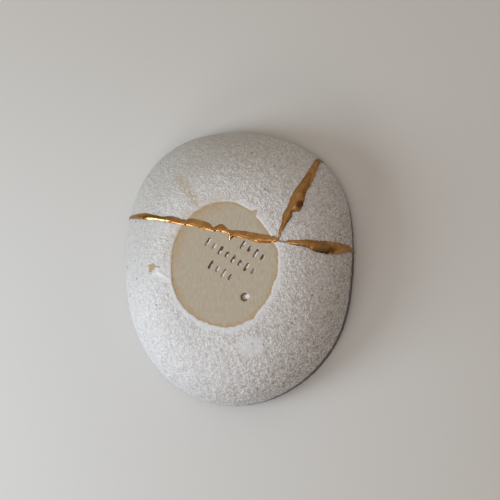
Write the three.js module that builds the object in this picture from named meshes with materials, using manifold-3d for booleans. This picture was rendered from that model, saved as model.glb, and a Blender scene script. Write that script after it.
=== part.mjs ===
// A small hand-thrown bowl that broke in three and was mended with gold, turned over on its rim.
// Millimetres, +Z up. The origin lies on the standing plane, at the centre of the rim's box.
import * as THREE from 'three';
import Module from 'manifold-3d';
import { mergeVertices } from 'three/addons/utils/BufferGeometryUtils.js';

// The bowl
const footHeight = 28; // standing plane to the bare foot, which is the bowl's underside
const glazeEdge = 0.3; // the glaze ends this far proud of the bare foot, all round it
const edgeSlope = 0.15; // the glaze's edge leans over this far to each side of the foot's outline
const lipHeight = 2.4; // the widest line of the wall, above the standing plane
const rimWall = 4.6;
const floorWall = 5.2;
const rimLand = 1.2; // width of the flat that the rim stands on
const around = 58; // facets round the bowl
const wallRings = 7; // facets from the foot's edge down to the widest line
const lipRings = 3; // facets from the widest line down to the land

// The hand-made outlines: a mean radius and a few slow waves, [times round, cosine part, sine part]
const rimOutline = {
  mean: 50.9,
  waves: [[1, 0, 0.8], [2, -4.3, 0.1], [3, 0.35, 0.7], [4, -0.8, 0.1], [5, -0.25, -0.3]],
};
const footOutline = {
  mean: 21.9,
  waves: [[1, -0.65, -0.4], [2, -1.5, -0.1], [3, 0.2, -0.1], [4, 0.2, 0.15], [5, 0.25, 0.1]],
};

// The mend: three arms run from one junction to the rim, and each goes on round the lip and back inside
const junction = new THREE.Vector2(20.2, 8.5);
const seamRise = 0.6; // most that the gold stands proud of the glaze
const riseForWidth = 0.4; // a narrow stretch stands this share of its half-width proud
const seamDepth = 0.5; // depth of the groove that the gold bead lies in
const jointHalf = 0.2; // half thickness of the filled crack through the wall
const shardGap = 0.3; // play between the gold and each shard
const insideWidth = 0.6; // the bead inside is this share as wide as the one outside
const floorClear = 0.1; // the gold stays this far above the standing plane
const overrun = 0.5; // each arm starts this far behind the junction, so that the three run into one
const beadSides = 6;

// Each arm's end on the rim is given by its direction. Its knots are [distance along a straight line from the
// junction to the rim, the centre line's offset to the left of that line, the bead's half-width].
const arms = [
  { // to the left
    rimAngle: 155.2, stations: 23,
    knots: [[0, 0, 0.3], [1.3, 0, 1.1], [6.5, 0.5, 1.7], [14, 0.4, 1.5], [18, 1.3, 1.9], [20, -0.2, 1.1],
      [22.7, -0.8, 1.5], [25.2, 0.2, 0.9], [29, -0.8, 1.5], [33.6, -1.1, 1.4], [38, -0.6, 0.9],
      [42, -0.9, 1.2], [46, -0.6, 0.9], [54, -0.7, 1.3], [60, -0.2, 0.9], [65.4, 0, 0.8]],
  },
  { // up and to the right
    rimAngle: 51.7, stations: 12,
    knots: [[0, 0, 0.3], [2.4, 0.2, 0.5], [6.8, 0.2, 1], [10, 0.2, 1.7], [12, 0.2, 1.4], [14, -1, 2.6],
      [17.5, -0.8, 2.6], [21, -0.7, 2.1], [28, -1, 1.7], [32.4, -0.5, 1.1], [36.1, 0, 0.9]],
  },
  { // to the right
    rimAngle: 7, stations: 9,
    knots: [[0, 0, 0.3], [3, -0.4, 0.3], [5, -0.4, 0.8], [8, -0.3, 1], [11, -0.2, 1.5], [14, -0.7, 2.2],
      [18, -0.7, 2.4], [22.3, 0, 2], [24.9, 0.4, 1], [26, 0, 0.8]],
  },
];
const lipStations = 3; // steps of the seam from the widest line to the land

// The potter's rows of strokes pressed into the foot, long and short by turns, and the round thumb mark
const rowSlope = THREE.MathUtils.degToRad(-33);
const strokeDepth = 0.35;
const strokeWidth = 1.1;
const strokeLengths = [3.6, 2.4];
const strokePitch = 2.95;
const rows = [
  { start: [6.8, 6.9], strokes: 4 },
  { start: [-6.7, 8.2], strokes: 8 },
  { start: [-5.5, -0.4], strokes: 4 },
];
const thumbMark = { x: 7.5, y: -12.7, radius: 1.9, depth: 0.5 };

const glazed = { color: 0xc9c4bb, roughness: 0.55, metalness: 0 };
const gilded = { color: 0xb9802f, roughness: 0.35, metalness: 1 };

const wasm = await Module();
wasm.setup();

const lerp = THREE.MathUtils.lerp;
const wavyRadius = ({ mean, waves }, angle) =>
  waves.reduce((r, [n, c, s]) => r + c * Math.cos(n * angle) + s * Math.sin(n * angle), mean);

// The outer and the inner face are the same curve: flat inside the foot's outline, then a quarter ellipse
// down to the widest line.
const outerFace = { inset: 0, flat: footHeight, top: footHeight + glazeEdge, side: 1 };
const innerFace = { inset: rimWall, flat: footHeight - floorWall, top: footHeight - floorWall, side: -1 };

// A point of a face and its normal, turn being 0 at the foot's outline and a quarter turn at the widest line
function facePoint(face, angle, turn) {
  const foot = wavyRadius(footOutline, angle);
  const reach = wavyRadius(rimOutline, angle) - face.inset - foot;
  const rise = face.top - lipHeight;
  return polarPoint(angle, foot + reach * Math.sin(turn), lipHeight + rise * Math.cos(turn),
    Math.sin(turn) / reach * face.side, Math.cos(turn) / rise * face.side);
}

// A point of the rounded lip and its normal, turn being 0 at the widest line and a quarter turn at the land
function lipPoint(face, angle, turn) {
  const middle = wavyRadius(rimOutline, angle) - rimWall / 2;
  const corner = (rimWall - rimLand) / 2;
  return polarPoint(angle, middle + face.side * (rimLand / 2 + corner * Math.cos(turn)),
    lipHeight * (1 - Math.sin(turn)), face.side * Math.cos(turn), -Math.sin(turn));
}

function polarPoint(angle, radius, z, outward, upward) {
  const x = Math.cos(angle);
  const y = Math.sin(angle);
  return {
    point: new THREE.Vector3(x * radius, y * radius, z),
    normal: new THREE.Vector3(x * outward, y * outward, upward).normalize(),
  };
}

// A closed solid through equal loops of points, each loop running anticlockwise seen from before the first
function skin(loops) {
  const count = loops[0].length;
  const points = loops.flat();
  const faces = [];
  for (let i = 0; i + 1 < loops.length; i++) {
    for (let j = 0; j < count; j++) {
      const a = i * count + j;
      const b = i * count + (j + 1) % count;
      faces.push(a, a + count, b + count, a, b + count, b);
    }
  }
  const cap = (loop, first, flip) => {
    const sum = loop.reduce((total, point) => total.add(point), new THREE.Vector3());
    const middle = points.push(sum.divideScalar(count)) - 1;
    for (let j = 0; j < count; j++) {
      const pair = [first + j, first + (j + 1) % count];
      faces.push(middle, ...(flip ? pair.reverse() : pair));
    }
  };
  cap(loops[0], 0, false);
  cap(loops.at(-1), count * (loops.length - 1), true);
  return solid(new THREE.BufferGeometry().setFromPoints(points).setIndex(faces));
}

// A three.js geometry as a solid that can be joined and cut
function solid(geometry) {
  geometry.deleteAttribute('normal');
  geometry.deleteAttribute('uv');
  const merged = mergeVertices(geometry);
  return new wasm.Manifold(new wasm.Mesh({
    numProp: 3,
    vertProperties: new Float32Array(merged.attributes.position.array),
    triVerts: new Uint32Array(merged.index.array),
  }));
}

function namedMesh(name, body, look) {
  const { vertProperties, triVerts } = body.getMesh();
  const geometry = new THREE.BufferGeometry();
  geometry.setAttribute('position', new THREE.BufferAttribute(vertProperties, 3));
  geometry.setIndex(new THREE.BufferAttribute(triVerts, 1));
  geometry.computeVertexNormals();
  const mesh = new THREE.Mesh(geometry, new THREE.MeshStandardMaterial({ ...look, flatShading: true }));
  mesh.name = name;
  return mesh;
}

// The whole bowl before it broke
function bowlShell() {
  const quarter = Math.PI / 2;
  const angles = Array.from({ length: around }, (_, k) => k / around * 2 * Math.PI);
  const ring = (place, face, turn) => angles.map((angle) => place(face, angle, turn).point);
  const edge = (reach, z) =>
    angles.map((angle) => polarPoint(angle, wavyRadius(footOutline, angle) + reach, z, 0, 1).point);
  const loops = [edge(-edgeSlope, footHeight), edge(edgeSlope, outerFace.top)];
  for (let i = 1; i <= wallRings; i++) loops.push(ring(facePoint, outerFace, i / wallRings * quarter));
  for (let i = 1; i <= lipRings; i++) loops.push(ring(lipPoint, outerFace, i / lipRings * quarter));
  for (let i = lipRings; i > 0; i--) loops.push(ring(lipPoint, innerFace, i / lipRings * quarter));
  for (let i = wallRings; i >= 0; i--) loops.push(ring(facePoint, innerFace, i / wallRings * quarter));
  return skin(loops);
}

// The seam's offset and half-width at a distance from the junction, between the two nearest knots
function atDistance(knots, distance) {
  const next = Math.max(1, knots.findIndex(([reach]) => reach >= distance));
  const [before, after] = [knots[next - 1], knots[next]];
  const share = Math.max(0, (distance - before[0]) / (after[0] - before[0]));
  return { offset: lerp(before[1], after[1], share), halfWidth: lerp(before[2], after[2], share) };
}

// The seam's stations on one face, from the junction to the land under the lip
function stationsOn(face, arm) {
  const angle = THREE.MathUtils.degToRad(arm.rimAngle);
  const rim = wavyRadius(rimOutline, angle);
  const inward = (rim - face.inset) / rim;
  const start = junction.clone().multiplyScalar(inward);
  const line = new THREE.Vector2(Math.cos(angle), Math.sin(angle)).multiplyScalar(rim * inward).sub(start);
  const sideways = new THREE.Vector2(-line.y, line.x).normalize();
  const width = face === outerFace ? 1 : insideWidth;
  const stations = [];
  for (let i = 0; i <= arm.stations; i++) {
    // The steps shorten towards the rim, where the wall steepens
    const s = i === 0 ? -overrun / line.length() : 1 - (1 - i / arm.stations) ** 1.5;
    const { offset, halfWidth } = atDistance(arm.knots, Math.min(s, 1) * arm.knots.at(-1)[0]);
    const plan = start.clone().addScaledVector(line, s).addScaledVector(sideways, offset);
    stations.push({ ...overPlan(face, plan), halfWidth: halfWidth * width });
  }
  for (let i = 1; i <= lipStations; i++) {
    const turn = i / lipStations * Math.PI / 2;
    stations.push({ ...lipPoint(face, angle, turn), halfWidth: arm.knots.at(-1)[2] * width });
  }
  return stations;
}

// The point of a face straight above a point in plan
function overPlan(face, plan) {
  const angle = plan.angle();
  const foot = wavyRadius(footOutline, angle);
  const reach = wavyRadius(rimOutline, angle) - face.inset - foot;
  const turn = Math.asin(THREE.MathUtils.clamp((plan.length() - foot) / reach, 0, 1));
  const found = facePoint(face, angle, turn);
  if (plan.length() < foot) found.point.set(plan.x, plan.y, face.flat);
  return found;
}

// Gold bead over the crack, round the lip and back inside, with the filled crack between: grown by the play
// on every side, it is what the mend takes out of the bowl.
function seamArm(arm, play) {
  const outside = stationsOn(outerFace, arm);
  const inside = stationsOn(innerFace, arm);
  const route = [...outside, ...inside.slice(0, -1).reverse()];
  route.forEach((station, i) => {
    const before = route[Math.max(i - 1, 0)].point;
    const after = route[Math.min(i + 1, route.length - 1)].point;
    const forward = after.clone().sub(before).normalize();
    station.side = forward.cross(station.normal).normalize();
  });
  const lowest = play > 0 ? -Infinity : floorClear;
  const lifted = (p) => p.setZ(Math.max(p.z, lowest));
  const beadLoops = route.map(({ point, normal, side, halfWidth }) => {
    const proud = Math.min(seamRise, riseForWidth * halfWidth) + play;
    return Array.from({ length: beadSides }, (_, k) => {
      const turn = k / beadSides * 2 * Math.PI;
      const up = Math.sin(turn) * (Math.sin(turn) > 0 ? proud : seamDepth + play);
      return lifted(point.clone().addScaledVector(side, Math.cos(turn) * (halfWidth + play))
        .addScaledVector(normal, up));
    });
  });
  const crackLoops = outside.slice(0, -1).map(({ point, side }, i) => {
    const within = inside[i].point;
    const half = side.clone().multiplyScalar(jointHalf + play);
    const corners = [[point, 1], [point, -1], [within, -1], [within, 1]];
    return corners.map(([corner, way]) => lifted(corner.clone().addScaledVector(half, way)));
  });
  return skin(beadLoops).add(skin(crackLoops));
}

const goldMend = (play) => arms.map((arm) => seamArm(arm, play)).reduce((whole, arm) => whole.add(arm));

// What is pressed into the foot: the rows of strokes and the thumb mark
function footMarks() {
  const marks = [];
  rows.forEach(({ start, strokes }) => {
    for (let k = 0; k < strokes; k++) {
      const stroke = new THREE.BoxGeometry(strokeWidth, strokeLengths[k % 2], 2 * strokeDepth);
      stroke.translate(k * strokePitch, 0, 0);
      stroke.rotateZ(rowSlope);
      stroke.translate(start[0], start[1], footHeight);
      marks.push(solid(stroke));
    }
  });
  const { x, y, radius, depth } = thumbMark;
  const ball = (radius ** 2 + depth ** 2) / (2 * depth);
  const thumb = new THREE.SphereGeometry(ball, 20, 32);
  thumb.translate(x, y, footHeight + ball - depth);
  return marks.reduce((all, mark) => all.add(mark), solid(thumb));
}

const shell = bowlShell().subtract(footMarks());
const shards = shell.subtract(goldMend(shardGap)).decompose();

// The shards are told apart by where their middles lie
function shardName(shard) {
  const { min, max } = shard.boundingBox();
  if ((min[1] + max[1]) / 2 < -5) return 'shard_lower';
  return min[0] > 0 ? 'shard_right' : 'shard_upper';
}

const bowl = new THREE.Group();
shards.forEach((shard) => bowl.add(namedMesh(shardName(shard), shard, glazed)));
bowl.add(namedMesh('gold_seam', goldMend(0), gilded));

export default bowl;
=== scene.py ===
# A small hand-made bowl that broke in three and was mended with gold, turned over on its rim.
# The shapes are worked out in millimetres, and a mesh turns into metres when it is finished.
import math

import bmesh
import bpy
import numpy as np
from mathutils import Matrix, Vector, noise


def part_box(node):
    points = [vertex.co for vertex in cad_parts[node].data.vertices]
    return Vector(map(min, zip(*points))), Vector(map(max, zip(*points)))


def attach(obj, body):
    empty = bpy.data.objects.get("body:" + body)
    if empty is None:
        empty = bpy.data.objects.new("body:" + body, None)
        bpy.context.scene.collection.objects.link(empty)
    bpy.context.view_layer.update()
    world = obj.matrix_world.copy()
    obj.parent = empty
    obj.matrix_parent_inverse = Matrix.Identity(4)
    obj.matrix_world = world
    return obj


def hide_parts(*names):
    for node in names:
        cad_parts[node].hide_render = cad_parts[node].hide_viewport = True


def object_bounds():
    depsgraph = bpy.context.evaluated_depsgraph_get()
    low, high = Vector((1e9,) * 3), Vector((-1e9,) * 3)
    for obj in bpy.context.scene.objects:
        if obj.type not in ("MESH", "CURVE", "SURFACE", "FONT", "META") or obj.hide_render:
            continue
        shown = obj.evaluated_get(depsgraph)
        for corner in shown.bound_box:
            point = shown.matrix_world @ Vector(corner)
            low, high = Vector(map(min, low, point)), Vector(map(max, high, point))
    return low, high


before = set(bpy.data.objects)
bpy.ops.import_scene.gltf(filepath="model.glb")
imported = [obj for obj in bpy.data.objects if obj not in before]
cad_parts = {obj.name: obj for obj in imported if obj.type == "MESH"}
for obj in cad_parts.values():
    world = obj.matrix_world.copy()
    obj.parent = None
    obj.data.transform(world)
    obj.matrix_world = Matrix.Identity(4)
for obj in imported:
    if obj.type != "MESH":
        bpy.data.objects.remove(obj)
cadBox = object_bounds()
mm = 0.001
quarterTurn = math.pi / 2
print("frame loaded")

# The whole bowl, before it broke. Each outline is a mean radius and a few slow waves:
# (times round, cosine part, sine part).
bowl = {
    "glazeTop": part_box("shard_lower")[1][2] / mm,  # the glaze's edge round the foot, its highest line
    "glazeThickness": 0.3,  # that edge stands this far proud of the bare foot
    "lipHeight": 2.4,  # the widest line of the wall
    "rimWall": 4.6,
    "floorWall": 5.2,
    "rimLand": 1.2,  # the flat that the rim stands on
    "rimMean": 50.9,
    "rimWaves": [(1, 0, 0.8), (2, -4.3, 0.1), (3, 0.35, 0.7), (4, -0.8, 0.1), (5, -0.25, -0.3)],
    "footMean": 21.9,
    "footWaves": [(1, -0.65, -0.4), (2, -1.5, -0.1), (3, 0.2, -0.1), (4, 0.2, 0.15), (5, 0.25, 0.1)],
    "ballFineness": 5,  # subdivisions of the ball that the shell is shaped from
    "insideCuts": 1,  # more cuts in each edge of its inside
    "outsideCuts": 8,  # and of its outside
    "footFall": 30,  # degrees from the ball's pole that become the foot, and the floor inside
    "wallFall": 84,  # degrees that become the wall; the rest, to the equator, is the lip
    "outsideFade": (90, 86),  # the outer relief dies out between these degrees
    "insideFade": (96, 104),  # and the inner one sets in between these
    "sharpEdge": 50,  # degrees between faces that meet in a sharp edge, as at the breaks
    "skin": (3.0, 1.5),  # what lies less than this below the smooth outer face counts as outside
    "rimSkin": 1.5,  # and so does what lies less than this inside the rim's outline
}
footHeight = bowl["glazeTop"] - bowl["glazeThickness"]
outerFace = {"inset": 0.0, "top": bowl["glazeTop"], "way": 1}
innerFace = {"inset": bowl["rimWall"], "top": footHeight - bowl["floorWall"], "way": -1}


# Shapes that the clay and the gold share

def wavyRadius(outline, angle):
    radius = bowl[outline + "Mean"]
    for times, cosine, sine in bowl[outline + "Waves"]:
        radius = radius + cosine * np.cos(times * angle) + sine * np.sin(times * angle)
    return radius


def smoothStep(low, high, value):
    share = np.clip((value - low) / (high - low), 0, 1)
    return share * share * (3 - 2 * share)


def cosineTo(angle, towards):
    return np.cos(angle - math.radians(towards))


def swung(angle, mean, swing, towards):
    return mean + swing * cosineTo(angle, towards)


# Each section gives radius, height and the normal's two parts.
# On a face, turn 0 is the foot's outline and a quarter turn the widest line.
def faceSection(face, angle, turn):
    foot = wavyRadius("foot", angle)
    reach = wavyRadius("rim", angle) - face["inset"] - foot
    rise = face["top"] - bowl["lipHeight"]
    outward = np.sin(turn) / reach
    upward = np.cos(turn) / rise
    length = np.hypot(outward, upward) * face["way"]
    radius, height = foot + reach * np.sin(turn), bowl["lipHeight"] + rise * np.cos(turn)
    return radius, height, outward / length, upward / length


# On the lip, turn 0 is the widest line and a quarter turn the land.
def lipSection(face, angle, turn):
    middle = wavyRadius("rim", angle) - bowl["rimWall"] / 2
    corner = (bowl["rimWall"] - bowl["rimLand"]) / 2
    radius = middle + face["way"] * (bowl["rimLand"] / 2 + corner * np.cos(turn))
    return radius, bowl["lipHeight"] * (1 - np.sin(turn)), face["way"] * np.cos(turn), -np.sin(turn)


def flatSection(face, angle, share):
    level = np.zeros_like(share)
    return wavyRadius("foot", angle) * share, level + face["top"], level, level + face["way"]


# The mend. Knots are (distance from the junction, offset to the left, half-width of the gold).
# The crest is how far the bead's highest line lies to its left, as a share of the half-width. The flank's
# power and root shape the bead's left side: straight for (1, 1), rounder as the root gets smaller. The other
# side has the round flank. Uneven is the share by which the rise changes along the arm. Beside the drop, a
# dark red-brown patch is painted on the gold: a painted dark reflection in the bead's flank.
mend = {
    "junction": (20.2, 8.5),
    "crackHalf": 0.14,
    "play": 0.02,
    "sunk": 0.18,  # the bead's underside lies this far below the glaze
    "riseForWidth": 0.4,
    "mostRise": 0.5,
    "wallRise": 0.85,  # the gold may stand this high once it is well down the wall
    "insideWidth": 0.6,
    "floorClear": 0.1,
    "overrun": 0.4,
    "crowding": 1.5,  # the stations lie closer together where the wall steepens
    "thinnest": 0.12,  # the least half-width of the gold
    "sides": 24,
    "lipSteps": 16,
    "lipStep": 0.2,  # distance that the noises along the arm count for each of them
    "bladeBeyond": 2.0,  # the sheets that part the shards reach this far past both faces
    "fillBelow": 0.05,  # and the gold in the crack ends this far under them
    "lookAhead": 8,  # stations before and behind that give the bead's direction
    "ragged": {"size": 1.3, "share": 0.08},  # unevenness of the bead's two edges
    "unevenSize": 2.6,  # its rise swells and sinks in waves of this size
    "wallDrop": 3,  # it has its full rise this far below the foot
    "ridges": {"length": 4.5, "width": 0.9, "rise": 0.09},  # brushed on lengthwise
    "ripples": {"size": 2.2, "rise": 0.04},
    "roundFlank": (1.3, 0.75),
    "below": 0.02,  # the bead stays this far below the top of the frame's box
    "drop": {"at": (26.5, 21.3), "size": 0.9, "rise": 0.4},  # a drop of lacquer on the upper arm
    # the painted dark reflection beside the drop
    "darkReflection": {"at": (28.2, 22.2), "size": 1.6, "soft": (0.55, 1.1), "jagSize": 1.2, "jag": 0.3},
    "arms": [
        {  # left
            "rimAngle": 155.2, "steps": 300, "crest": 0.3, "flank": (1.2, 1.0), "uneven": 0.12,
            "knots": [
                (0, 0, 0.2), (1.3, 0, 1.15), (4.2, 0.35, 1.55), (6.7, 0.55, 1.7), (10.5, 0.35, 1.55),
                (14.2, 0.3, 1.45), (16.2, 0.4, 1.4), (17.2, 0.55, 1.45), (18.0, 1.35, 2.05),
                (18.7, 0.4, 1.15), (19.6, 0, 0.85), (20.8, -0.4, 1.1), (22.4, -0.85, 1.6), (24.0, -0.4, 1.1),
                (25.2, 0.2, 0.85), (26.2, -0.15, 0.95), (27.4, -0.6, 1.35), (29.9, -0.85, 1.5),
                (33.6, -1.1, 1.5), (36.0, -0.8, 1.15), (38.0, -0.6, 0.95), (42.0, -0.85, 1.3),
                (46.0, -0.6, 0.9), (49.0, -0.7, 0.95), (54.0, -0.65, 1.35), (57.0, -0.5, 1.15),
                (60.5, -0.15, 0.85), (65.4, 0, 0.7),
            ],
        },
        {  # upper
            "rimAngle": 51.7, "steps": 180, "crest": 0.0, "flank": (1.3, 0.75), "uneven": 0.35,
            "knots": [
                (0, 0, 0.2), (0.8, -0.1, 0.15), (2.2, 0.2, 0.5), (3.0, 0.35, 0.4), (3.9, 0.4, 0.7),
                (6.8, 0.15, 1.0), (8.4, 0.3, 1.45), (10.1, 0.15, 1.7), (12.0, 0.2, 1.35), (12.8, -0.1, 1.75),
                (13.6, -0.8, 2.5), (15.8, -0.9, 2.7), (17.5, -0.7, 2.6), (20.9, -0.65, 2.1),
                (24.7, -1.05, 1.9), (28.5, -1.0, 1.65), (32.4, -0.5, 1.25), (36.1, 0, 1.05),
            ],
        },
        {  # right
            "rimAngle": 7, "steps": 140, "crest": -0.1, "flank": (1.3, 0.75), "uneven": 0.15,
            "knots": [
                (0, 0, 0.2), (0.8, -0.3, 0.18), (2.8, -0.45, 0.18), (3.5, -0.35, 0.55), (5.0, -0.4, 0.8),
                (8.0, -0.3, 1.15), (11.0, -0.2, 1.55), (13.9, -0.7, 2.15), (16.8, -0.7, 2.45),
                (19.6, -0.45, 2.45), (22.3, 0, 2.05), (23.6, 0.3, 1.65), (24.9, 0.4, 1.05), (26.0, 0, 0.7),
            ],
        },
    ],
}


# The seams' stations on one face: point, normal, half-width and distance, from the junction to the land
def seamStations(face, arm):
    angle = math.radians(arm["rimAngle"])
    rim = wavyRadius("rim", angle)
    inward = (rim - face["inset"]) / rim
    start = Vector(mend["junction"]) * inward
    line = Vector((math.cos(angle), math.sin(angle))) * rim * inward - start
    sideways = line.orthogonal().normalized()
    lastKnot = arm["knots"][-1]
    stations = []
    for step in range(arm["steps"] + 1):
        share = 1 - (1 - step / arm["steps"]) ** mend["crowding"]
        if step == 0:
            share = -mend["overrun"] / line.length
        offset, halfWidth = betweenKnots(arm["knots"], share * lastKnot[0])
        plan = start + line * share + sideways * offset
        point, normal = overPlan(face, plan)
        stations.append((point, normal, halfWidth, share * line.length))
    for step in range(1, mend["lipSteps"] + 1):
        turn = step / mend["lipSteps"] * quarterTurn
        point, normal = polar(angle, *lipSection(face, angle, turn))
        stations.append((point, normal, lastKnot[2], line.length + step * mend["lipStep"]))
    return stations


def polar(angle, radius, height, outward, upward):
    x, y = math.cos(angle), math.sin(angle)
    return Vector((x * radius, y * radius, height)), Vector((x * outward, y * outward, upward)).normalized()


def overPlan(face, plan):
    angle = math.atan2(plan.y, plan.x)
    foot = wavyRadius("foot", angle)
    reach = wavyRadius("rim", angle) - face["inset"] - foot
    if plan.length < foot:
        level = footHeight if face is outerFace else face["top"]
        return Vector((plan.x, plan.y, level)), Vector((0, 0, face["way"]))
    turn = math.asin(min((plan.length - foot) / reach, 1))
    return polar(angle, *faceSection(face, angle, turn))


# A smooth curve through the knots: each stretch leaves one knot and meets the next without a kink
def betweenKnots(knots, distance):
    number = 1
    while number < len(knots) - 1 and distance > knots[number][0]:
        number += 1
    before, after = knots[number - 1], knots[number]
    earlier, later = knots[max(number - 2, 0)], knots[min(number + 1, len(knots) - 1)]
    stretch = after[0] - before[0]
    share = min(max((distance - before[0]) / stretch, 0), 1)
    values = []
    for part in (1, 2):
        leaving = (after[part] - earlier[part]) / (after[0] - earlier[0]) * stretch
        meeting = (later[part] - before[part]) / (later[0] - before[0]) * stretch
        rise = after[part] - before[part]
        values.append(before[part] + share * leaving + share ** 2 * (3 * rise - 2 * leaving - meeting)
                      + share ** 3 * (leaving + meeting - 2 * rise))
    return values[0], max(values[1], mend["thinnest"])


# Mesh helpers

def newObject(name, bm, scale=mm):
    mesh = bpy.data.meshes.new(name)
    bmesh.ops.scale(bm, vec=(scale, scale, scale), verts=bm.verts)
    bm.to_mesh(mesh)
    bm.free()
    made = bpy.data.objects.new(name, mesh)
    bpy.context.scene.collection.objects.link(made)
    return made


def readPoints(mesh):
    points = np.empty(len(mesh.vertices) * 3)
    mesh.vertices.foreach_get("co", points)
    return points.reshape(-1, 3)


def writePoints(mesh, points):
    mesh.vertices.foreach_set("co", points.ravel())
    mesh.update()


def combine(piece, tool, operation):
    change = piece.modifiers.new("combine", "BOOLEAN")
    change.object = tool
    change.operation = operation
    change.solver = "MANIFOLD"
    bpy.context.view_layer.objects.active = piece
    bpy.ops.object.modifier_apply(modifier=change.name)
    bpy.data.objects.remove(tool)


# A bar with capped ends, whose every corner is placed by its station and its number round the section
def sweep(name, sides, stationCount, place):
    bm = bmesh.new()
    bmesh.ops.create_cone(bm, cap_ends=True, segments=sides, radius1=1, radius2=1, depth=1)
    lengthwise = [e for e in bm.edges if abs(e.verts[0].co.z - e.verts[1].co.z) > 0.5]
    bmesh.ops.subdivide_edges(bm, edges=lengthwise, cuts=stationCount - 2)
    for corner in bm.verts:
        station = round((corner.co.z + 0.5) * (stationCount - 1))
        side = round(math.atan2(corner.co.y, corner.co.x) / (2 * math.pi) * sides) % sides
        corner.co = place(station, side)
    bmesh.ops.triangulate(bm, faces=bm.faces)
    bmesh.ops.recalc_face_normals(bm, faces=bm.faces)
    return newObject(name, bm)


# The clay

# The glaze and what is pressed into the clay. A place is (x, y), a direction is in degrees round the bowl
# with 0 to the right, and a swing is (mean, swing, the direction where it is greatest).
surface = {
    "puckerSize": 1.25,  # the glaze dried in fine puckers, with creases between them
    "puckerHeight": 0.11,
    "puckerTop": 0.75,  # they are flat above this level
    "lumps": [(1.0, 0.11), (1.9, 0.15), (4.2, 0.07)],  # and in lumps of these sizes and heights
    "lumpLevel": 0.08,  # the lumps' level that lies on the smooth face
    "lumpiness": (0.9, 0.2, -110),
    "calmPuckers": 0.8,  # share of the puckers that is lost where the glaze is calm
    "calmLumps": 0.75,
    "throwSize": 14,  # slow unevenness of a hand-made wall
    "throwHeight": 0.12,
    "throwLevel": 0.7,
    "insideThrow": 0.1,
    "mostProud": 0.1,  # the glaze stands at most this far above the smooth face
    "fineNear": {"edge": 1.4, "strokes": 1.6, "spots": 3},  # the mesh is finest this near these
    "edge": {  # the glaze's edge round the foot
        "reach": 6,  # nothing of it is worked out farther than this from the foot's outline
        "jag": 0.6,  # how far it wanders to each side of the foot's outline
        "jags": [(3.1, 1.0), (1.1, 0.6)],  # in waves of these sizes and strengths
        "raggedness": (0.6, 0.4, -35),
        "soft": (-0.15, 0.3),  # the glaze thins out between these distances from it
        "roll": {"at": 0.7, "width": 0.5, "rise": 0.06},  # a low roll just outside it
    },
    "notch": {"angle": 57.9, "width": 2.2, "steepness": 3, "reach": 2.2},  # a bare nick beside the foot
    "bareSpot": {"at": (-28.9, -0.9), "size": (1.8, 1.7), "tail": (-26.0, -0.8), "tailWidth": 0.7,
                 "tailStart": 0.55, "soft": (0.75, 1.15), "near": 3, "jagSize": 1.5, "jag": 0.6},
    "smear": {"from": (-26.0, -3.0), "to": (-20.0, -6.4), "width": 2.4, "soft": (0.5, 1),
              "ridge": 0.3, "ridgeWidth": 0.55},
    "calmPatch": {"at": (9.6, -31.3), "size": (6.5, 4.5), "soft": (0.4, 1.1), "calm": 0.85},
    "calmBeside": (0.8, 3.2),  # the glaze is calm this near the foot, and rough this far from it
    "stain": {"from": (-18.9, 33.0), "to": (-10.5, 22.5), "width": 3.4, "soft": (0.1, 1),
              "footSide": 133, "footCosines": (0.45, 0.9), "footOutside": (5.0, 0.3),
              "footInside": (-5.0, -0.5), "footShare": 0.8},
    "pinholes": {"number": 26, "size": 0.3, "band": (0.15, 0.9), "spread": (0.7, 1.3), "soft": (0.5, 1.3),
                 "depth": 0.22, "seed": 4},
    "clayGrain": 0.9,
    "clayGrainHeight": 0.02,
    "rowSlope": math.radians(-33),
    "rows": [((6.8, 6.9), 4), ((-6.7, 8.2), 8), ((-5.5, -0.4), 4)],  # first stroke, number of strokes
    "strokePitch": 2.95,
    "strokeLengths": (3.6, 2.4),
    "strokeWidth": 1.1,
    "strokeDepth": 0.35,
    "strokeSoft": (0.45, 1.25),  # the stroke's side slopes between these shares of its half-width
    "strokePool": (0.16, 0.42),  # the pale glaze in it, painted as a highlight, ends between these distances from its middle
    "poolShift": (0.22, -0.16),  # and lies a little to one side
    "poolGaps": {"size": 1.6, "soft": (-0.25, 0.15)},  # some of the strokes have none
    "faintStrokes": {"size": 5, "soft": (-0.3, 0.2), "least": 0.35},  # and some are hardly dark
    "thumbMark": {"at": (7.5, -12.7), "radius": 1.9, "depth": 0.5, "fullness": 0.7},
}


# Each seed looks at another place of the noise, which is turned so that its grid doesn't show
def noiseOver(points, size, seed, puckered=False):
    shift = Vector((seed * 17.3, seed * 5.1, seed * 9.7))
    turn = Matrix.Rotation(0.7, 3, Vector((1, 2, 3)).normalized()) * (1 / size)
    values = np.array([noise.noise(turn @ Vector(p) + shift) for p in points.tolist()])
    return np.abs(values) if puckered else values


def segmentReach(x, y, start, end):
    run = np.array(end) - np.array(start)
    share = np.clip(((x - start[0]) * run[0] + (y - start[1]) * run[1]) / (run @ run), 0, 1)
    return np.hypot(x - start[0] - share * run[0], y - start[1] - share * run[1])


# Distance from the middle of an oval, as a share of its half-axes
def ovalReach(x, y, middle, halfAxes):
    return np.hypot((x - middle[0]) / halfAxes[0], (y - middle[1]) / halfAxes[1])


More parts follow.
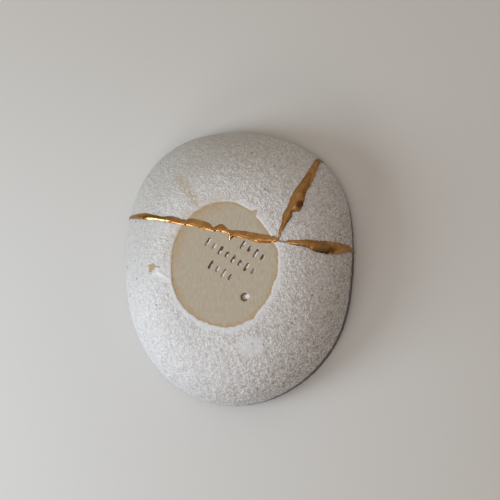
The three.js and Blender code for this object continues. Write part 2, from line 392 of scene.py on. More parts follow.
# How far outside the glaze's edge a point lies, and how bare or marked the surface is there
def surfaceFacts(points):
    x, y = points[:, 0], points[:, 1]
    angle = np.arctan2(y, x)
    radius = np.hypot(x, y)
    gap = radius - wavyRadius("foot", angle)
    edge, notch = surface["edge"], surface["notch"]
    near = np.abs(gap) < edge["reach"]
    jag = np.zeros(len(points))
    for number, (size, share) in enumerate(edge["jags"], 1):
        jag[near] += share * noiseOver(points[near] * (1, 1, 0), size, number)
    across = (angle - math.radians(notch["angle"])) * radius
    across = np.where(across > 0, across, -across * notch["steepness"])
    spike = np.clip(1 - across / notch["width"], 0, 1)
    gap = gap - jag * edge["jag"] * swung(angle, *edge["raggedness"]) - spike * notch["reach"]
    bare = np.maximum(1 - smoothStep(*edge["soft"], gap), bareSpot(points))
    return {"angle": angle, "radius": radius, "gap": gap, "bare": bare, "mark": pressedMarks(x, y)}


# The bare spot on the left wall, with its tail, 0 to 1
def bareSpot(points):
    x, y = points[:, 0], points[:, 1]
    spot = surface["bareSpot"]
    tail = segmentReach(x, y, spot["at"], spot["tail"]) / spot["tailWidth"]
    reach = np.minimum(ovalReach(x, y, spot["at"], spot["size"]), tail + spot["tailStart"])
    near = reach < spot["near"]
    reach[near] += spot["jag"] * noiseOver(points[near], spot["jagSize"], 3)
    return 1 - smoothStep(*spot["soft"], reach)


# How far each point is from the nearest stroke's middle line
def markReach(x, y):
    nearest = np.full(len(x), np.inf)
    cosine, sine = math.cos(surface["rowSlope"]), math.sin(surface["rowSlope"])
    for (startX, startY), strokes in surface["rows"]:
        forward = (x - startX) * cosine + (y - startY) * sine
        sideways = (y - startY) * cosine - (x - startX) * sine
        for number in range(strokes):
            halfLength = surface["strokeLengths"][number % 2] / 2 - surface["strokeWidth"] / 2
            past = np.maximum(np.abs(sideways) - halfLength, 0)
            nearest = np.minimum(nearest, np.hypot(forward - number * surface["strokePitch"], past))
    return nearest


# Depth of the strokes, 0 to 1
def pressedMarks(x, y):
    return 1 - smoothStep(*surface["strokeSoft"], markReach(x, y) / (surface["strokeWidth"] / 2))


def thumbReach(x, y):
    thumb = surface["thumbMark"]
    return ovalReach(x, y, thumb["at"], (thumb["radius"], thumb["radius"]))


def thumbDepth(x, y):
    return np.clip(1 - thumbReach(x, y) ** 2, 0, 1) ** surface["thumbMark"]["fullness"]


# Where the puckered glaze lies smooth, 0 to 1
def calmness(x, y, gap):
    smear, patch = surface["smear"], surface["calmPatch"]
    calm = 1 - smoothStep(*surface["calmBeside"], gap)
    smearReach = segmentReach(x, y, smear["from"], smear["to"]) / smear["width"]
    calm = np.maximum(calm, 1 - smoothStep(*smear["soft"], smearReach))
    patchReach = ovalReach(x, y, patch["at"], patch["size"])
    return np.maximum(calm, patch["calm"] * (1 - smoothStep(*patch["soft"], patchReach)))


# 0 in a crease, and about 1 on a pucker
def puckers(points):
    return noiseOver(points, surface["puckerSize"], 4, True) * 2


def lumps(points):
    height = np.zeros(len(points))
    for number, (size, rise) in enumerate(surface["lumps"]):
        height += noiseOver(points, size, 20 + number) * rise
    return height


# Small pits where bubbles burst in the glaze, 0 to 1
def pinholes(x, y):
    pits = surface["pinholes"]
    chance = np.random.default_rng(pits["seed"])
    depth = np.zeros(len(x))
    for _ in range(pits["number"]):
        angle = chance.uniform(0, 2 * math.pi)
        foot, rim = wavyRadius("foot", angle), wavyRadius("rim", angle)
        radius = foot + (rim - foot) * chance.uniform(*pits["band"])
        reach = np.hypot(x - radius * math.cos(angle), y - radius * math.sin(angle))
        size = pits["size"] * chance.uniform(*pits["spread"])
        depth = np.maximum(depth, 1 - smoothStep(*pits["soft"], reach / size))
    return depth


# How far the finished surface lies from the smooth outer face, along its normal
def relief(points, facts):
    x, y, gap = points[:, 0], points[:, 1], facts["gap"]
    calm = calmness(x, y, gap)
    puckerDepth = surface["puckerHeight"] * (1 - surface["calmPuckers"] * calm)
    lumpHeight = swung(facts["angle"], *surface["lumpiness"]) * (1 - surface["calmLumps"] * calm)
    roll, smear = surface["edge"]["roll"], surface["smear"]
    smearReach = segmentReach(x, y, smear["from"], smear["to"]) / smear["ridgeWidth"]
    glazed = (np.minimum(puckers(points), surface["puckerTop"]) - surface["puckerTop"]) * puckerDepth
    glazed += (lumps(points) - surface["lumpLevel"]) * lumpHeight
    glazed += (noiseOver(points, surface["throwSize"], 6) - surface["throwLevel"]) * surface["throwHeight"]
    glazed += np.exp(-((gap - roll["at"]) / roll["width"]) ** 2) * roll["rise"]
    glazed += np.exp(-smearReach ** 2) * smear["ridge"]
    glazed -= pinholes(x, y) * surface["pinholes"]["depth"]
    glazed = np.minimum(glazed, surface["mostProud"])
    clay = noiseOver(points, surface["clayGrain"], 7) * surface["clayGrainHeight"] - bowl["glazeThickness"]
    clay -= facts["mark"] * surface["strokeDepth"] + thumbDepth(x, y) * surface["thumbMark"]["depth"]
    return clay * facts["bare"] + glazed * (1 - facts["bare"])


# The ball's directions become the shell: its top half the outer face, its bottom half the inner one
def shapeShell(points):
    angle = np.arctan2(points[:, 1], points[:, 0])
    fall = np.degrees(np.arccos(np.clip(points[:, 2] / np.linalg.norm(points, axis=1), -1, 1)))
    section = np.zeros((4, len(points)))
    for face, pole in ((outerFace, 0), (innerFace, 180)):
        reach = np.abs(fall - pole)
        flat = reach <= bowl["footFall"]
        wall = (reach > bowl["footFall"]) & (reach <= bowl["wallFall"])
        lip = (reach > bowl["wallFall"]) & (reach <= 90)
        section[:, flat] = flatSection(face, angle[flat], reach[flat] / bowl["footFall"])
        turn = (reach - bowl["footFall"]) / (bowl["wallFall"] - bowl["footFall"]) * quarterTurn
        section[:, wall] = faceSection(face, angle[wall], turn[wall])
        turn = (reach - bowl["wallFall"]) / (90 - bowl["wallFall"]) * quarterTurn
        section[:, lip] = lipSection(face, angle[lip], turn[lip])
    radius, height, outward, upward = section
    placed = np.column_stack((np.cos(angle) * radius, np.sin(angle) * radius, height))
    normals = np.column_stack((np.cos(angle) * outward, np.sin(angle) * outward, upward))
    return placed, normals, fall


def makeShell():
    bm = bmesh.new()
    bmesh.ops.create_icosphere(bm, subdivisions=bowl["ballFineness"], radius=1)
    innerWall = math.cos(math.radians(180 - bowl["wallFall"]))  # the ball's height where it starts
    outside = [e for e in bm.edges if min(v.co.z for v in e.verts) > innerWall]
    inside = list(set(bm.edges) - set(outside))
    bmesh.ops.subdivide_edges(bm, edges=outside, cuts=bowl["outsideCuts"], use_grid_fill=True)
    bmesh.ops.subdivide_edges(bm, edges=inside, cuts=bowl["insideCuts"], use_grid_fill=True)
    # Once more where the foot's edge, the strokes and the spots need a finer mesh
    placed = shapeShell(np.array([v.co for v in bm.verts]))[0]
    wanted = needsDetail(placed) & (np.array([v.co.z for v in bm.verts]) > 0)
    detailed = [e for e in bm.edges if wanted[e.verts[0].index] and wanted[e.verts[1].index]]
    bmesh.ops.subdivide_edges(bm, edges=detailed, cuts=1, use_grid_fill=True)
    bmesh.ops.triangulate(bm, faces=bm.faces)
    shell = newObject("shell", bm, 1)
    placed, normals, fall = shapeShell(readPoints(shell.data))
    outer = fall < 90
    lowered = np.zeros(len(placed))
    lowered[outer] = relief(placed[outer], surfaceFacts(placed[outer]))
    lowered[outer] *= smoothStep(*bowl["outsideFade"], fall[outer])
    inner = ~outer
    thrown = noiseOver(placed[inner], surface["throwSize"], 8) - surface["throwLevel"]
    lowered[inner] = thrown * surface["insideThrow"] * smoothStep(*bowl["insideFade"], fall[inner])
    writePoints(shell.data, (placed + normals * lowered[:, None]) * mm)
    return shell


def needsDetail(points):
    x, y = points[:, 0], points[:, 1]
    near = surface["fineNear"]
    fromEdge = np.abs(np.hypot(x, y) - wavyRadius("foot", np.arctan2(y, x)))
    wanted = (fromEdge < near["edge"]) | (markReach(x, y) < near["strokes"])
    for spot in (surface["thumbMark"], surface["bareSpot"]):
        wanted |= np.hypot(x - spot["at"][0], y - spot["at"][1]) < near["spots"]
    return wanted


# What separates two shards: a thin sheet through the wall along one arm
def makeBlade(arm, half, beyond):
    outside, inside = seamStations(outerFace, arm), seamStations(innerFace, arm)

    def place(station, side):
        before, after = outside[max(station - 1, 0)], outside[min(station + 1, len(outside) - 1)]
        point, normal = (outside if side in (0, 1) else inside)[station][:2]
        sideways = (after[0] - before[0]).cross(outside[station][1]).normalized()
        return point + normal * beyond + sideways * half * (1 if side in (0, 3) else -1)

    return sweep("blade", 4, len(outside), place)


# The shell parts along the three arms, and each shard is known by where its box lies
def breakShell(shell):
    for arm in mend["arms"]:
        blade = makeBlade(arm, mend["crackHalf"] + mend["play"], mend["bladeBeyond"])
        combine(shell, blade, "DIFFERENCE")
    bpy.ops.object.select_all(action="DESELECT")
    shell.select_set(True)
    bpy.context.view_layer.objects.active = shell
    bpy.ops.mesh.separate(type="LOOSE")
    shards = {}
    for shard in list(bpy.context.selected_objects):
        points = readPoints(shard.data) / mm
        low, high = points.min(axis=0), points.max(axis=0)
        middle = (low + high) / 2
        name = "lower" if middle[1] < -5 else "right" if low[0] > 0 else "upper"
        shard.name = shard.data.name = name + "Shard"
        shards[name] = shard
    return shards


def keepValue(mesh, name, value):
    mesh.attributes.new(name, "FLOAT", "POINT").data.foreach_set("value", value.astype(np.float32))


# A faint tan stain down the wall, and beside the foot where it ends, 0 to 1
def stainStrength(x, y, angle, gap):
    stain = surface["stain"]
    streakReach = segmentReach(x, y, stain["from"], stain["to"]) / stain["width"]
    beside = smoothStep(*stain["footCosines"], cosineTo(angle, stain["footSide"]))
    beside *= smoothStep(*stain["footOutside"], gap) * smoothStep(*stain["footInside"], gap)
    return np.maximum(1 - smoothStep(*stain["soft"], streakReach), stain["footShare"] * beside)


# What lies in the thumb mark, in shares of its radius: painted shadow, darkest along its left rim, and a
# painted highlight of pale glaze
thumbLook = {
    "soft": (0.72, 0.95),
    "shadow": 0.28,
    "rimShadow": 0.3,
    "rimShares": (0.35, 0.8),
    "fade": (0.9, 0.2),
    "glint": (0.45, 0.1),
    "glintSoft": (0.3, 0.55),
}


# How dark the pressed clay is, 0 to 1: the strokes' dark clay with painted shade, and the thumb mark's
# painted shadow
def markShadow(points, mark):
    x, y = points[:, 0], points[:, 1]
    faint, reach = surface["faintStrokes"], thumbReach(x, y)
    shown = smoothStep(*faint["soft"], noiseOver(points * (1, 1, 0), faint["size"], 13))
    inThumb = thumbLook["shadow"] + thumbLook["rimShadow"] * smoothStep(*thumbLook["rimShares"], reach)
    inThumb *= 1 - smoothStep(*thumbLook["soft"], reach)
    thumb = surface["thumbMark"]
    inThumb *= smoothStep(*thumbLook["fade"], (x - thumb["at"][0]) / thumb["radius"])
    return np.maximum(mark * (faint["least"] + (1 - faint["least"]) * shown), inThumb)


# Where pale glaze has pooled in the strokes and in the thumb mark, painted as a highlight to one side, 0 to 1
def pooledGlazeAndGlint(points):
    x, y = points[:, 0], points[:, 1]
    shiftX, shiftY = surface["poolShift"]
    gaps, radius = surface["poolGaps"], surface["thumbMark"]["radius"]
    filled = smoothStep(*gaps["soft"], noiseOver(points, gaps["size"], 12))
    inStrokes = (1 - smoothStep(*surface["strokePool"], markReach(x - shiftX, y - shiftY))) * filled
    glintX, glintY = thumbLook["glint"]
    inThumb = 1 - smoothStep(*thumbLook["glintSoft"], thumbReach(x - glintX * radius, y - glintY * radius))
    return np.maximum(inStrokes, inThumb)


lipShadeBand = {  # the dark band along the rim: partly clay that the glaze leaves bare, partly painted shade
    "towards": -32,  # it is darkest, and widest, towards this direction
    "low": 2.2,
    "rise": 4.6,
    "riseCosines": (0.2, 0.95),
    "soft": (0.5, 0.3),  # it fades from this far above its top to this far below
    "least": 0.45,
    "darkCosines": (-0.2, 0.8),
}


# The dark rim band: bare clay with painted shade, strongest on the lower right, turned from the light
def lipShadeStrength(angle, height):
    facing = cosineTo(angle, lipShadeBand["towards"])
    top = lipShadeBand["low"] + lipShadeBand["rise"] * smoothStep(*lipShadeBand["riseCosines"], facing)
    above, below = lipShadeBand["soft"]
    dark = lipShadeBand["least"] + (1 - lipShadeBand["least"]) * smoothStep(*lipShadeBand["darkCosines"], facing)
    return smoothStep(top + above, top - below, height) * dark


# Tints of the glaze. Each is strongest towards a direction, and fades between two cosines of the angle to it.
# Down the wall it sets in between two shares of the way from the foot to the widest line.
tints = {
    "warm": {"towards": 15, "cosines": (-0.8, 0.7), "down": None, "most": 1},
    # greyer towards the upper left
    "greyed": {"towards": 128, "cosines": (0.1, 1), "down": (0.1, 0.6), "most": 1},
    # painted shade: the glaze is painted greyer towards the right, where the wall turns from the light
    "rightShade": {"towards": 0, "cosines": (0.3, 1), "down": (0.5, 0.9), "most": 0.3},
    "rimward": {"towards": -30, "cosines": (-0.5, 0.8), "down": (0.55, 0.95), "most": 0.7},
}


def tint(name, angle, turn):
    row = tints[name]
    strength = smoothStep(*row["cosines"], cosineTo(angle, row["towards"])) * row["most"]
    return strength * smoothStep(*row["down"], np.sin(turn)) if row["down"] else strength


creasing = (1, 0.12, -105)  # how deep the creases' colour, partly painted shade, is round the bowl
haloStrength = (0.65, 0.35, -70)  # and how pale the calm glaze is


# What the glaze's material reads at each corner of the mesh
def keepFacts(shard):
    mesh = shard.data
    points = readPoints(mesh) / mm
    x, y, height = points[:, 0], points[:, 1], points[:, 2]
    facts = surfaceFacts(points)
    angle, gap = facts["angle"], facts["gap"]
    foot, rim = wavyRadius("foot", angle), wavyRadius("rim", angle)
    turn = np.arcsin(np.clip((facts["radius"] - foot) / (rim - foot), 0, 1))
    outside = smoothStep(*bowl["skin"], faceSection(outerFace, angle, turn)[1] - height)
    outside = np.where(facts["radius"] > rim - bowl["rimSkin"], 1.0, outside)
    calm = calmness(x, y, gap)
    onOutside = {
        "bare": facts["bare"],
        "valley": 1 - smoothStep(*glaze["valleySoft"], puckers(points)),
        "calm": calm,
        "mark": markShadow(points, facts["mark"]),
        "poolAndGlint": pooledGlazeAndGlint(points),
        "stain": stainStrength(x, y, angle, gap),
        "halo": calm * swung(angle, *haloStrength),
        "pit": pinholes(x, y),
    }
    for name, value in onOutside.items():
        keepValue(mesh, name, value * outside)
    keepValue(mesh, "edgeGap", np.where(outside > 0.5, gap, glaze["farGap"]))
    keepValue(mesh, "warm", tint("warm", angle, turn))
    # greyer towards the upper left, and painted shade towards the right
    keepValue(mesh, "greyed", np.maximum(tint("greyed", angle, turn), tint("rightShade", angle, turn)))
    keepValue(mesh, "creased", swung(angle, *creasing) * (1 + tint("rimward", angle, turn)))
    # the dark rim band, partly painted shade
    keepValue(mesh, "lip", lipShadeStrength(angle, height))
    mesh.shade_smooth()
    mesh.set_sharp_from_angle(angle=math.radians(bowl["sharpEdge"]))


# The gold

def makeGoldArm(arm):
    outside, inside = seamStations(outerFace, arm), seamStations(innerFace, arm)
    route = [(*s, 1.0) for s in outside] + [(*s, mend["insideWidth"]) for s in reversed(inside[:-1])]
    highest = cadBox[1][2] / mm - mend["below"]
    ahead, crest, seed = mend["lookAhead"], arm["crest"], arm["rimAngle"]
    ragged, ridges, ripples, drop = (mend[name] for name in ("ragged", "ridges", "ripples", "drop"))

    def place(station, side):
        point, normal, halfWidth, distance, width = route[station]
        before, after = route[max(station - ahead, 0)][0], route[min(station + ahead, len(route) - 1)][0]
        sideways = normal.cross(after - before).normalized()
        turn = side / mend["sides"] * 2 * math.pi
        across, up = math.cos(turn), math.sin(turn)
        edgeSeed = seed + (3 if across > 0 else 0)
        jag = noise.noise(Vector((distance / ragged["size"], edgeSeed, width)))
        half = halfWidth * width * (1 + ragged["share"] * jag)
        placed = point + sideways * across * half
        if up > 0:
            down = min(max((footHeight - point.z) / mend["wallDrop"], 0), 1)
            most = mend["mostRise"] + (mend["wallRise"] - mend["mostRise"]) * down
            rise = min(mend["riseForWidth"] * half, most)
            rise *= 1 + arm["uneven"] * noise.noise(Vector((distance / mend["unevenSize"], seed + 9, width)))
            past = (across - crest) / ((1 if across > crest else -1) - crest)
            power, root = arm["flank"] if across > crest else mend["roundFlank"]
            placed += normal * (rise * (1 - past ** power) ** root)
            ridge = noise.noise(Vector((distance / ridges["length"], across * half / ridges["width"], seed)))
            ripple = noise.noise(placed / ripples["size"])
            placed += normal * (ridge * ridges["rise"] + ripple * ripples["rise"]) * up
            reach = (placed.xy - Vector(drop["at"])).length / drop["size"]
            placed += normal * drop["rise"] * math.exp(-reach ** 2)
        else:
            placed += normal * (mend["sunk"] * up)
        placed.z = min(max(placed.z, mend["floorClear"]), highest)
        return placed

    bead = sweep("goldBead", mend["sides"], len(route), place)
    combine(bead, makeBlade(arm, mend["crackHalf"], -mend["fillBelow"]), "UNION")
    return bead


def makeSeam():
    seam, *others = [makeGoldArm(arm) for arm in mend["arms"]]
    for arm in others:
        combine(seam, arm, "UNION")
    seam.name = seam.data.name = "goldSeam"
    seam.data.shade_smooth()
    points = readPoints(seam.data) / mm
    # where the painted dark reflection lies on the upper arm
    darkReflection = mend["darkReflection"]
    reach = ovalReach(points[:, 0], points[:, 1], darkReflection["at"], (darkReflection["size"], darkReflection["size"]))
    reach += darkReflection["jag"] * noiseOver(points, darkReflection["jagSize"], 15)
    keepValue(seam.data, "darkReflection", 1 - smoothStep(*darkReflection["soft"], reach))
    return seam


# Materials

def feed(tree, socket, value):
    if isinstance(value, bpy.types.NodeSocket):
        tree.links.new(value, socket)
    else:
        socket.default_value = value


def addNode(tree, kind, inputs=None, **settings):
    made = tree.nodes.new(kind)
    for name, value in settings.items():
        setattr(made, name, value)
    for name, value in (inputs or {}).items():
        feed(tree, made.inputs[name], value)
    return made


class Finish:
    def __init__(self, name):
        self.material = bpy.data.materials.new(name)
        self.material.use_nodes = True
        self.tree = self.material.node_tree
        self.shader = self.tree.nodes["Principled BSDF"]

    def node(self, kind, inputs=None, **settings):
        return addNode(self.tree, kind, inputs, **settings)

    def attribute(self, name):
        return self.node("ShaderNodeAttribute", attribute_name=name).outputs["Fac"]

    def place(self):
        return self.node("ShaderNodeTexCoord").outputs["Object"]

    def noise(self, size, detail=2.0, roughness=0.5, squeeze=(1, 1, 1)):
        squeezed = self.node("ShaderNodeVectorMath", {0: self.place(), 1: squeeze}, operation="MULTIPLY")
        inputs = {"Vector": squeezed.outputs[0], "Scale": 1 / (size * mm),
                  "Detail": detail, "Roughness": roughness}
        return self.node("ShaderNodeTexNoise", inputs).outputs["Fac"]

    def ramp(self, value, low, high, lowOut=0.0, highOut=1.0):
        inputs = {"Value": value, "From Min": low, "From Max": high, "To Min": lowOut, "To Max": highOut}
        return self.node("ShaderNodeMapRange", inputs, interpolation_type="SMOOTHSTEP").outputs["Result"]

    # A noise between two of its levels, as a strength between two others
    def mottle(self, row):
        roughness, squeeze = row.get("roughness", 0.5), row.get("squeeze", (1, 1, 1))
        pattern = self.noise(row["size"], row["detail"], roughness, squeeze)
        return self.ramp(pattern, *row["levels"], *row.get("strengths", (0.0, 1.0)))

    def math(self, operation, a, b):
        return self.node("ShaderNodeMath", {0: a, 1: b}, operation=operation).outputs[0]

    def times(self, a, b):
        return self.math("MULTIPLY", a, b)

    def blend(self, share, a, b):
        a, b = (value if isinstance(value, bpy.types.NodeSocket) else (*value, 1) for value in (a, b))
        return self.node("ShaderNodeMix", {0: share, 6: a, 7: b}, data_type="RGBA").outputs[2]

    def set(self, name, value):
        feed(self.tree, self.shader.inputs[name], value)

    def bump(self, height, distance, strength):
        inputs = {"Height": height, "Distance": distance * mm, "Strength": strength}
        self.set("Normal", self.node("ShaderNodeBump", inputs).outputs["Normal"])


# The levels of a noise lie round 0.5. A share says how far a colour goes over the one under it.
glaze = {
    "white": (0.83, 0.815, 0.83),
    "grey": (0.805, 0.79, 0.805),
    "patches": {"size": 2.4, "detail": 3, "levels": (0.35, 0.65)},  # of white in the grey
    "greyed": (0.61, 0.59, 0.56),  # greyer glaze towards the upper left; also the painted shade towards the right
    "greyedShare": 0.9,
    # the valleys' and creases' colour: partly the glaze's own darker colour there, partly painted shade
    "valley": (0.43, 0.41, 0.40),
    "warmValley": (0.30, 0.22, 0.15),
    "valleySoft": (0.05, 0.5),  # its colour fades out between these heights of the puckers
    "valleyShare": 0.34,
    "creaseSize": 1.1,  # creases finer than the mesh, where a noise crosses its middle
    "creaseDetail": 2.5,
    "creaseReach": 0.09,  # their colour fades out this far from the middle
    "creaseSlope": 0.16,  # and they are this wide in the bumps
    "creaseShare": 0.31,
    "halo": (0.72, 0.73, 0.77),
    "haloShare": 0.6,
    "stain": (0.52, 0.42, 0.29),
    "stainPatches": {"size": 1.1, "detail": 3, "levels": (0.35, 0.65), "strengths": (0.3, 0.85)},
    "pitShare": 0.8,
    "clay": (0.555, 0.478, 0.382),
    "clayDark": (0.48, 0.408, 0.312),
    "clayPatches": {"size": 1.4, "detail": 4, "levels": (0.3, 0.7), "roughness": 0.6,
                    "squeeze": (2, 0.6, 1)},
    "ring": (0.49, 0.33, 0.17),  # the rusty ring on the clay, inside the glaze's edge
    "ringPatches": {"size": 2.2, "detail": 3, "levels": (0.3, 0.65), "strengths": (0.3, 0.85)},
    "ringStart": -0.1,
    "ringEnd": {"size": 5, "detail": 2, "levels": (0.4, 0.65), "strengths": (-1.3, -3.6)},
    # dark clay in the strokes and pinholes, and the thumb mark's painted shadow
    "markEdge": (0.13, 0.055, 0.03),
    "markSoft": (0.1, 0.55),
    # pale glaze in the marks, painted as a highlight
    "paleGlazeGlint": (0.74, 0.74, 0.80),
    # the dark rim band's colour: bare clay and painted shade
    "lip": (0.10, 0.075, 0.085),
    "roughness": 0.48,
    "clayRoughness": 0.9,
    "fineSize": 0.5,  # the finest unevenness, on the glaze and on the clay
    "fineShare": 0.5,
    "bumpHeight": 0.13,
    "farGap": 30.0,  # kept as the distance from the glaze's edge where there is none, as on the inside
}


def glazeFinish():
    made = Finish("glazedStoneware")
    bare, gap, mark, calm = (made.attribute(name) for name in ("bare", "edgeGap", "mark", "calm"))
    poolAndGlint = made.attribute("poolAndGlint")
    rough = made.math("SUBTRACT", 1.0, calm)
    crease = made.math("SUBTRACT", made.noise(glaze["creaseSize"], glaze["creaseDetail"]), 0.5)
    crease = made.math("ABSOLUTE", crease, 0.0)
    inCrease = made.times(made.ramp(crease, glaze["creaseReach"], 0.0), rough)
    depth = made.times(made.attribute("valley"), glaze["valleyShare"])
    depth = made.math("ADD", made.times(inCrease, glaze["creaseShare"]), depth)
    depth = made.times(depth, made.attribute("creased"))
    valley = made.blend(made.attribute("warm"), glaze["valley"], glaze["warmValley"])
    stained = made.times(made.attribute("stain"), made.mottle(glaze["stainPatches"]))
    white = made.blend(made.mottle(glaze["patches"]), glaze["grey"], glaze["white"])
    # greyer towards the upper left, and painted shade towards the right
    white = made.blend(made.times(made.attribute("greyed"), glaze["greyedShare"]), white, glaze["greyed"])
    # valleys and creases painted darker: partly the glaze's own colour, partly painted shade
    white = made.blend(depth, white, valley)
    white = made.blend(made.times(made.attribute("halo"), glaze["haloShare"]), white, glaze["halo"])
    white = made.blend(stained, white, glaze["stain"])
    # the dark rim band: bare clay, partly painted shade
    white = made.blend(made.attribute("lip"), white, glaze["lip"])
    white = made.blend(made.times(made.attribute("pit"), glaze["pitShare"]), white, glaze["markEdge"])
    clay = made.blend(made.mottle(glaze["clayPatches"]), glaze["clayDark"], glaze["clay"])
    ring = made.ramp(gap, made.mottle(glaze["ringEnd"]), glaze["ringStart"])
    ring = made.times(ring, made.mottle(glaze["ringPatches"]))
    clay = made.blend(made.math("MAXIMUM", ring, stained), clay, glaze["ring"])
    # the strokes' dark clay, with painted shade, and the thumb mark's painted shadow
    clay = made.blend(made.ramp(mark, *glaze["markSoft"]), clay, glaze["markEdge"])
    # pale glaze in the marks, painted as a highlight
    clay = made.blend(poolAndGlint, clay, glaze["paleGlazeGlint"])
    made.set("Base Color", made.blend(bare, white, clay))
    dry = made.math("SUBTRACT", bare, poolAndGlint)
    made.set("Roughness", made.ramp(dry, 0.0, 1.0, glaze["roughness"], glaze["clayRoughness"]))
    fine = made.times(made.noise(glaze["fineSize"], 2), glaze["fineShare"])
    height = made.times(made.ramp(crease, 0.0, glaze["creaseSlope"]), rough)
    made.bump(made.math("ADD", height, fine), glaze["bumpHeight"], 1.0)
    return made.material


gold = {
    "light": (0.52, 0.265, 0.085),
    "dark": (0.40, 0.175, 0.04),
    "shades": {"size": 2.5, "detail": 3, "levels": (0.3, 0.7)},
    "edge": (0.60, 0.44, 0.28),
    # the painted dark reflection's red-brown
    "darkReflection": (0.17, 0.045, 0.015),
    "roughness": {"size": 0.9, "detail": 3, "levels": (0.3, 0.7), "strengths": (0.19, 0.33)},
    "brushSize": 0.9,
    "bumpHeight": 0.03,
    "bumpStrength": 0.12,
    "coat": 0.5,  # a clear coat lies over it
    "coatRoughness": 0.1,
    "coatIndex": 1.6,
}


def goldFinish():
    made = Finish("goldLeafOnLacquer")
    colour = made.blend(made.mottle(gold["shades"]), gold["dark"], gold["light"])
    # with the painted dark reflection beside the drop
    made.set("Base Color", made.blend(made.attribute("darkReflection"), colour, gold["darkReflection"]))
    made.set("Metallic", 1.0)
    made.set("Specular Tint", (*gold["edge"], 1))
    made.set("Roughness", made.mottle(gold["roughness"]))
    made.bump(made.noise(gold["brushSize"], 2), gold["bumpHeight"], gold["bumpStrength"])
    made.set("Coat Weight", gold["coat"])
    made.set("Coat Roughness", gold["coatRoughness"])
    made.set("Coat IOR", gold["coatIndex"])
    return made.material


# Floor, light and camera

stage = {
    "floorColour": (0.675, 0.665, 0.66),
    "paintedFalloffColour": (0.63, 0.605, 0.585),  # painted light falloff: the floor is painted darker away from the window
    "paintedLitSpot": (-0.045, -0.035, 0),
    "darkens": (0.05, 0.18),  # between these distances from the painted lit spot
    "floorRoughness": 0.6,
    "floorSize": 4.0,
    # The window on the left, and the pane nearer the viewer that the gold mirrors
    "lamps": [
        {"azimuth": 195, "elevation": 30, "distance": 0.6, "size": (0.3, 0.3), "power": 2.1,
         "colour": (0.79, 0.91, 1.0)},
        {"azimuth": 241, "elevation": 28, "distance": 1.0, "size": (0.45, 0.25), "power": 1.58,
         "colour": (1.0, 1.0, 1.0)},
    ],
    # The room's glow: towards (azimuth, elevation), the power of the cosine it fades by, colour
    "glows": [
        ((80, 65), 1, (0.55, 0.52, 0.45)),
        ((270, 70), 32, (2.3, 1.9, 1.8)),
    ],
}


def makeFloor():
    bm = bmesh.new()
    bmesh.ops.create_grid(bm, x_segments=1, y_segments=1, size=stage["floorSize"] / 2)
    floor = newObject("floor", bm, 1)
    made = Finish("paleTable")
    inputs = {0: made.place(), 1: stage["paintedLitSpot"]}
    # painted light falloff: darker away from the painted lit spot
    away = made.node("ShaderNodeVectorMath", inputs, operation="DISTANCE").outputs["Value"]
    far = made.ramp(away, *stage["darkens"])
    made.set("Base Color", made.blend(far, stage["floorColour"], stage["paintedFalloffColour"]))
    made.set("Roughness", stage["floorRoughness"])
    floor.data.materials.append(made.material)


def direction(azimuth, elevation):
    azimuth, elevation = math.radians(azimuth), math.radians(elevation)
    level = math.cos(elevation)
    return Vector((math.cos(azimuth) * level, math.sin(azimuth) * level, math.sin(elevation)))


def makeLights():
    for number, row in enumerate(stage["lamps"]):
        towards = direction(row["azimuth"], row["elevation"])
        lamp = bpy.data.lights.new(f"window{number}", "AREA")
        lamp.shape = "ELLIPSE"
        lamp.size, lamp.size_y = row["size"]
        lamp.energy = row["power"]
        lamp.color = row["colour"]
        placed = bpy.data.objects.new(f"window{number}", lamp)
        placed.location = towards * row["distance"]
        placed.rotation_euler = towards.to_track_quat("Z", "Y").to_euler()
        bpy.context.scene.collection.objects.link(placed)


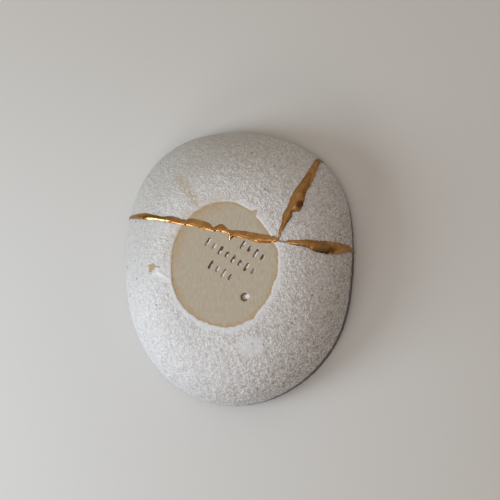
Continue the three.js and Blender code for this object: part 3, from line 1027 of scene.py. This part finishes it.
def makeRoom():
    room = bpy.data.worlds.new("room")
    bpy.context.scene.world = room
    room.use_nodes = True
    tree = room.node_tree
    tree.nodes.clear()
    place = addNode(tree, "ShaderNodeTexCoord").outputs["Generated"]
    total = None
    for towards, fade, colour in stage["glows"]:
        inputs = {0: place, 1: direction(*towards)}
        lean = addNode(tree, "ShaderNodeVectorMath", inputs, operation="DOT_PRODUCT")
        above = addNode(tree, "ShaderNodeMath", {0: lean.outputs["Value"], 1: 0}, operation="MAXIMUM")
        faded = addNode(tree, "ShaderNodeMath", {0: above.outputs[0], 1: fade}, operation="POWER")
        inputs = {"Color": (*colour, 1), "Strength": faded.outputs[0]}
        glow = addNode(tree, "ShaderNodeBackground", inputs).outputs[0]
        if total:
            glow = addNode(tree, "ShaderNodeAddShader", {0: total, 1: glow}).outputs[0]
        total = glow
    addNode(tree, "ShaderNodeOutputWorld", {"Surface": total})


view = {
    "target": (4.06, 7.28, 0),
    "tiltRight": 11.0,  # degrees that the camera leans to the right of straight above
    "tiltNear": 4.9,
    "distance": 450,
    "lens": 81,
    "sensor": 36,
    "clipStart": 0.01,
}


def makeCamera():
    leanRight, leanNear = (math.tan(math.radians(view[name])) for name in ("tiltRight", "tiltNear"))
    back = Vector((leanRight, -leanNear, 1)).normalized()
    up = (Vector((0, 1, 0)) - back * back.y).normalized()
    right = up.cross(back)
    lens = bpy.data.cameras.new("camera")
    lens.lens = view["lens"]
    lens.sensor_width = view["sensor"]
    lens.clip_start = view["clipStart"]
    camera = bpy.data.objects.new("camera", lens)
    turned = Matrix((right, up, back)).transposed().to_4x4()
    camera.matrix_world = Matrix.Translation((Vector(view["target"]) + back * view["distance"]) * mm) @ turned
    bpy.context.scene.collection.objects.link(camera)
    bpy.context.scene.camera = camera


makeCamera()
makeLights()
makeRoom()
makeFloor()
print("stage set")

shards = breakShell(makeShell())
clayLook = glazeFinish()
for name, shard in shards.items():
    keepFacts(shard)
    shard.data.materials.clear()
    shard.data.materials.append(clayLook)
    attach(shard, "root")
    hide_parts("shard_" + name)
    print(name, "shard", len(shard.data.polygons), "faces")

seam = makeSeam()
seam.data.materials.clear()
seam.data.materials.append(goldFinish())
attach(seam, "root")
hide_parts("gold_seam")
print("gold seam", len(seam.data.polygons), "faces")

bpy.context.scene.view_settings.view_transform = "Standard"
bpy.context.view_layer.update()
